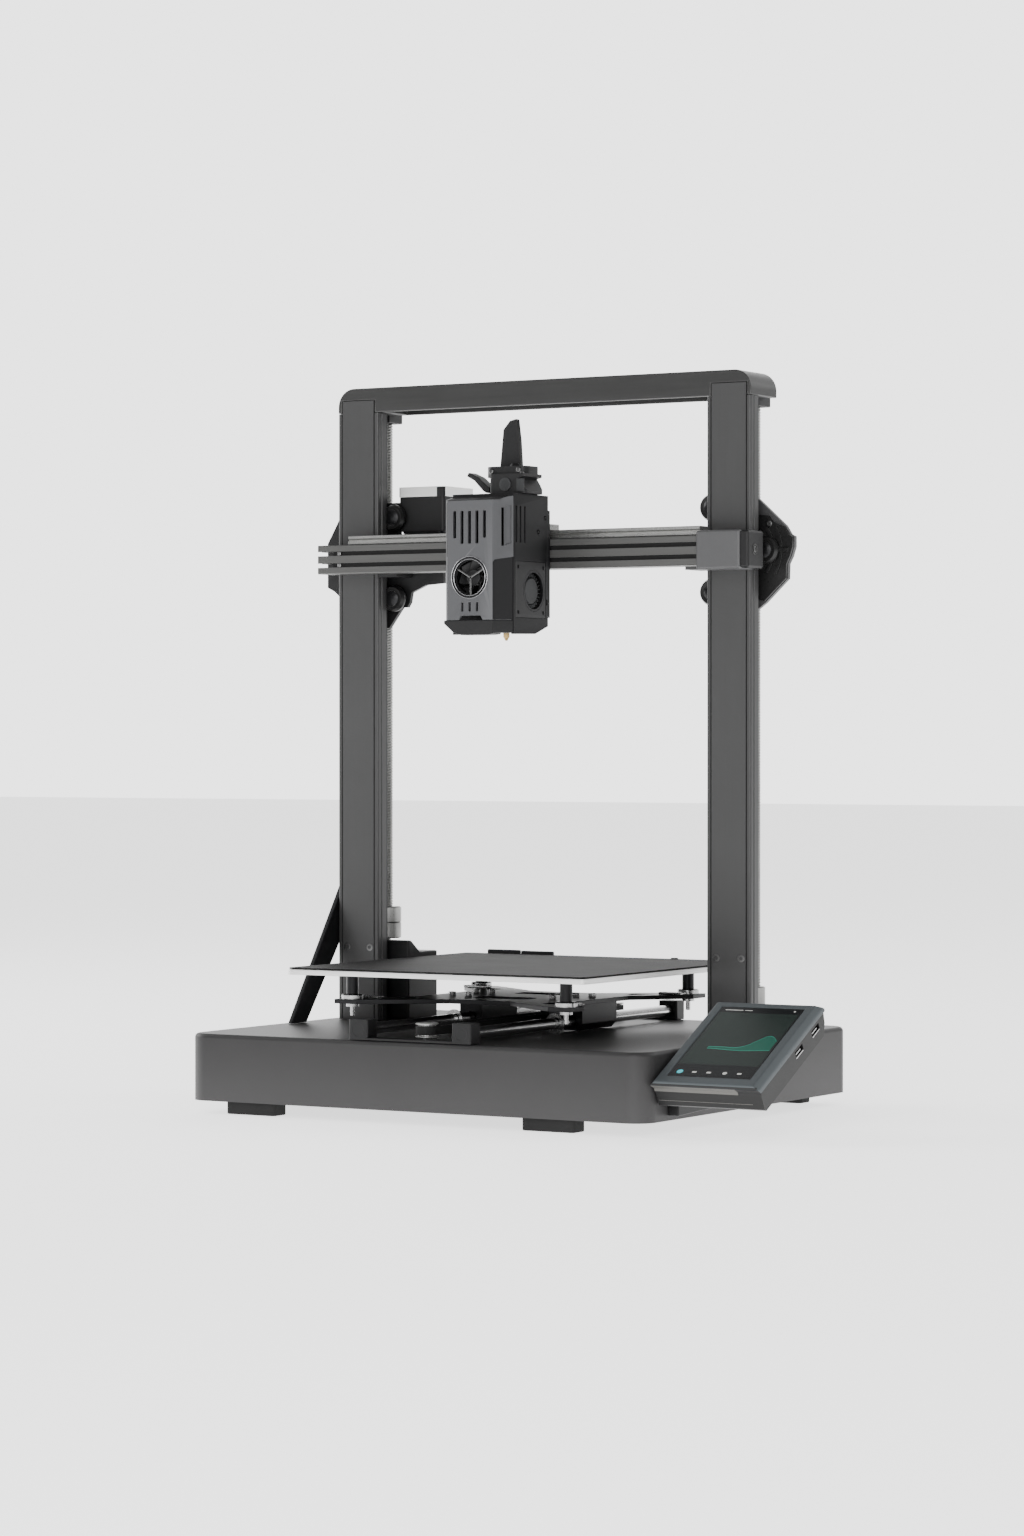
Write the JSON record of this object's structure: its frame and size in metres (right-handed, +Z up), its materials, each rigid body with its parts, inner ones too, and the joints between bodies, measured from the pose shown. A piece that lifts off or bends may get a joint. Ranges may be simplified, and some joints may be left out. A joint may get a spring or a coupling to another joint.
{
  "type": "fdm printer",
  "caption": "Desktop fused-filament 3D printer with a sliding heated bed, a screw-driven gantry, a print head on a linear rail and a tilted touch screen.",
  "frame": {"origin": "bottom centre of the whole machine's bounding box, on the surface it stands on", "axes": "+Z up, -Y towards the front where the operator stands, +X to the operator's right along the gantry beam"},
  "size_m": [0.4498, 0.2992, 0.5075],
  "materials": {
    "base_grey": "satin powder coat, faint grain",
    "frame_grey": "dark anodised, satin",
    "black_metal": "black, semi-matt",
    "black_plastic": "black moulded, fine texture",
    "steel": "ground and polished",
    "aluminium": "bare, lightly brushed",
    "cover_grey": "grey satin moulded",
    "screen_grey": "blue-grey satin moulded",
    "screen_glass": "gloss black panel",
    "rubber": "matt black",
    "wheel_plastic": "black acetal",
    "build_sheet": "fine textured coating",
    "circuit_board": "coated board"
  },
  "bodies": {
    "root": {"base_shell": "base_grey", "upright_left": "frame_grey", "upright_right": "frame_grey", "top_beam": "frame_grey", "bottom_plate": "black_metal", "brace_left": "black_metal", "y_motor": "black_metal", "z_motor_right": "black_metal", "z_motor_left": "black_plastic", "rod_holder_front": "black_plastic", "rod_holder_rear": "black_plastic", "screen_bracket": "black_plastic", "screen_shell": "black_plastic", "power_inlet": "black_plastic", "y_rod_left": "steel", "y_rod_right": "steel", "power_supply": "aluminium", "screen_bezel": "screen_grey", "touch_panel": "screen_glass", "foot_front_left": "rubber", "foot_front_right": "rubber", "foot_rear_left": "rubber", "foot_rear_right": "rubber", "y_belt": "rubber", "control_board": "circuit_board"},
    "gantry": {"x_beam": "frame_grey", "x_rail": "steel", "gantry_bracket_left": "black_plastic", "gantry_bracket_right": "black_plastic", "beam_end_cover": "cover_grey", "x_motor": "black_metal", "x_belt": "rubber"},
    "head": {"rail_block": "steel", "carriage_plate": "aluminium", "front_cover": "cover_grey", "side_shell": "black_plastic", "hotend": "aluminium", "extruder_body": "black_plastic", "extruder_motor": "black_metal", "cable_support": "black_plastic"},
    "bed": {"bed_carriage": "black_metal", "heated_bed": "aluminium", "build_sheet": "build_sheet"},
    "lead_screw_left": {"lead_screw_left": "steel"},
    "lead_screw_right": {"lead_screw_right": "steel"},
    "x_drive_pulley": {"x_drive_pulley": "aluminium"},
    "x_idler_pulley": {"x_idler_pulley": "aluminium"},
    "y_drive_pulley": {"y_drive_pulley": "aluminium"},
    "y_idler_pulley": {"y_idler_pulley": "aluminium"},
    "front_fan": {"front_fan": "black_plastic"},
    "side_blower": {"side_blower": "black_plastic"},
    "release_lever": {"release_lever": "black_plastic"},
    "power_switch": {"power_switch": "black_plastic"},
    "wheel_left_upper": {"wheel_left_upper": "wheel_plastic"},
    "wheel_left_lower": {"wheel_left_lower": "wheel_plastic"},
    "wheel_left_outer": {"wheel_left_outer": "wheel_plastic"},
    "wheel_right_upper": {"wheel_right_upper": "wheel_plastic"},
    "wheel_right_lower": {"wheel_right_lower": "wheel_plastic"},
    "wheel_right_outer": {"wheel_right_outer": "wheel_plastic"}
  },
  "joints": [
    {"name": "bed_slide", "type": "slide", "parent": "root", "child": "bed", "axis": [0, 1, 0], "range_m": [-0.131, 0.089]},
    {"name": "gantry_lift", "type": "slide", "parent": "root", "child": "gantry", "axis": [0, 0, 1], "range_m": [-0.223, 0.017]},
    {"name": "head_slide", "type": "slide", "parent": "gantry", "child": "head", "axis": [1, 0, 0], "range_m": [-0.11, 0.101]},
    {"name": "lead_screw_left_turn", "type": "hinge", "parent": "root", "child": "lead_screw_left", "pos_m": [-0.1851, 0.05975, 0.1033], "axis": [0, 0, 1], "range_deg": [-10037, 767]},
    {"name": "lead_screw_right_turn", "type": "hinge", "parent": "root", "child": "lead_screw_right", "pos_m": [0.1153, 0.05975, 0.0517], "axis": [0, 0, 1], "range_deg": [-10037, 767]},
    {"name": "wheel_left_upper_roll", "type": "hinge", "parent": "gantry", "child": "wheel_left_upper", "pos_m": [-0.1646, 0.03645, 0.415], "axis": [0, 1, 0], "range_deg": [-116, 1488]},
    {"name": "wheel_left_lower_roll", "type": "hinge", "parent": "gantry", "child": "wheel_left_lower", "pos_m": [-0.1646, 0.03645, 0.357], "axis": [0, 1, 0], "range_deg": [-116, 1488]},
    {"name": "wheel_left_outer_roll", "type": "hinge", "parent": "gantry", "child": "wheel_left_outer", "pos_m": [-0.2058, 0.03645, 0.385], "axis": [0, 1, 0], "range_deg": [-1488, 116]},
    {"name": "wheel_right_upper_roll", "type": "hinge", "parent": "gantry", "child": "wheel_right_upper", "pos_m": [0.0948, 0.03645, 0.415], "axis": [0, 1, 0], "range_deg": [-1488, 116]},
    {"name": "wheel_right_lower_roll", "type": "hinge", "parent": "gantry", "child": "wheel_right_lower", "pos_m": [0.0948, 0.03645, 0.357], "axis": [0, 1, 0], "range_deg": [-1488, 116]},
    {"name": "wheel_right_outer_roll", "type": "hinge", "parent": "gantry", "child": "wheel_right_outer", "pos_m": [0.136, 0.03645, 0.385], "axis": [0, 1, 0], "range_deg": [-116, 1488]},
    {"name": "x_drive_pulley_turn", "type": "hinge", "parent": "gantry", "child": "x_drive_pulley", "pos_m": [-0.1449, 0.05915, 0.384], "axis": [0, 0, 1], "range_deg": [-992, 911]},
    {"name": "x_idler_pulley_turn", "type": "hinge", "parent": "gantry", "child": "x_idler_pulley", "pos_m": [0.0991, 0.05915, 0.3845], "axis": [0, 0, 1], "range_deg": [-992, 911]},
    {"name": "y_drive_pulley_turn", "type": "hinge", "parent": "root", "child": "y_drive_pulley", "pos_m": [-0.0349, 0.12645, 0.0565], "axis": [0, 0, 1], "range_deg": [-1181, 803]},
    {"name": "y_idler_pulley_turn", "type": "hinge", "parent": "root", "child": "y_idler_pulley", "pos_m": [-0.0349, -0.12555, 0.0565], "axis": [0, 0, 1], "range_deg": [-1181, 803]},
    {"name": "front_fan_spin", "type": "hinge", "parent": "head", "child": "front_fan", "pos_m": [-0.0396, -0.05605, 0.3665], "axis": [0, 1, 0], "continuous": true},
    {"name": "side_blower_spin", "type": "hinge", "parent": "head", "child": "side_blower", "pos_m": [-0.0173, -0.02385, 0.3579], "axis": [1, 0, 0], "continuous": true},
    {"name": "release_lever_press", "type": "hinge", "parent": "head", "child": "release_lever", "pos_m": [-0.0421, -0.03255, 0.4277], "axis": [0, 1, 0], "range_deg": [-14, 0], "stiffness_Nm_per_rad": 0.05, "springref_deg": 5.73},
    {"name": "power_switch_rock", "type": "hinge", "parent": "root", "child": "power_switch", "pos_m": [0.0511, 0.14495, 0.031], "axis": [1, 0, 0], "range_deg": [-14, 0]}
  ],
  "couplings": [
    {"joint": "lead_screw_left_turn", "follows": "gantry_lift", "rad_per_m": 785.4},
    {"joint": "lead_screw_right_turn", "follows": "gantry_lift", "rad_per_m": 785.4},
    {"joint": "wheel_left_upper_roll", "follows": "gantry_lift", "rad_per_m": -116.28},
    {"joint": "wheel_left_lower_roll", "follows": "gantry_lift", "rad_per_m": -116.28},
    {"joint": "wheel_left_outer_roll", "follows": "gantry_lift", "rad_per_m": 116.28},
    {"joint": "wheel_right_upper_roll", "follows": "gantry_lift", "rad_per_m": 116.28},
    {"joint": "wheel_right_lower_roll", "follows": "gantry_lift", "rad_per_m": 116.28},
    {"joint": "wheel_right_outer_roll", "follows": "gantry_lift", "rad_per_m": -116.28},
    {"joint": "x_drive_pulley_turn", "follows": "head_slide", "rad_per_m": 156.99},
    {"joint": "x_idler_pulley_turn", "follows": "head_slide", "rad_per_m": 156.99},
    {"joint": "y_drive_pulley_turn", "follows": "bed_slide", "rad_per_m": 156.99},
    {"joint": "y_idler_pulley_turn", "follows": "bed_slide", "rad_per_m": 156.99}
  ]
}
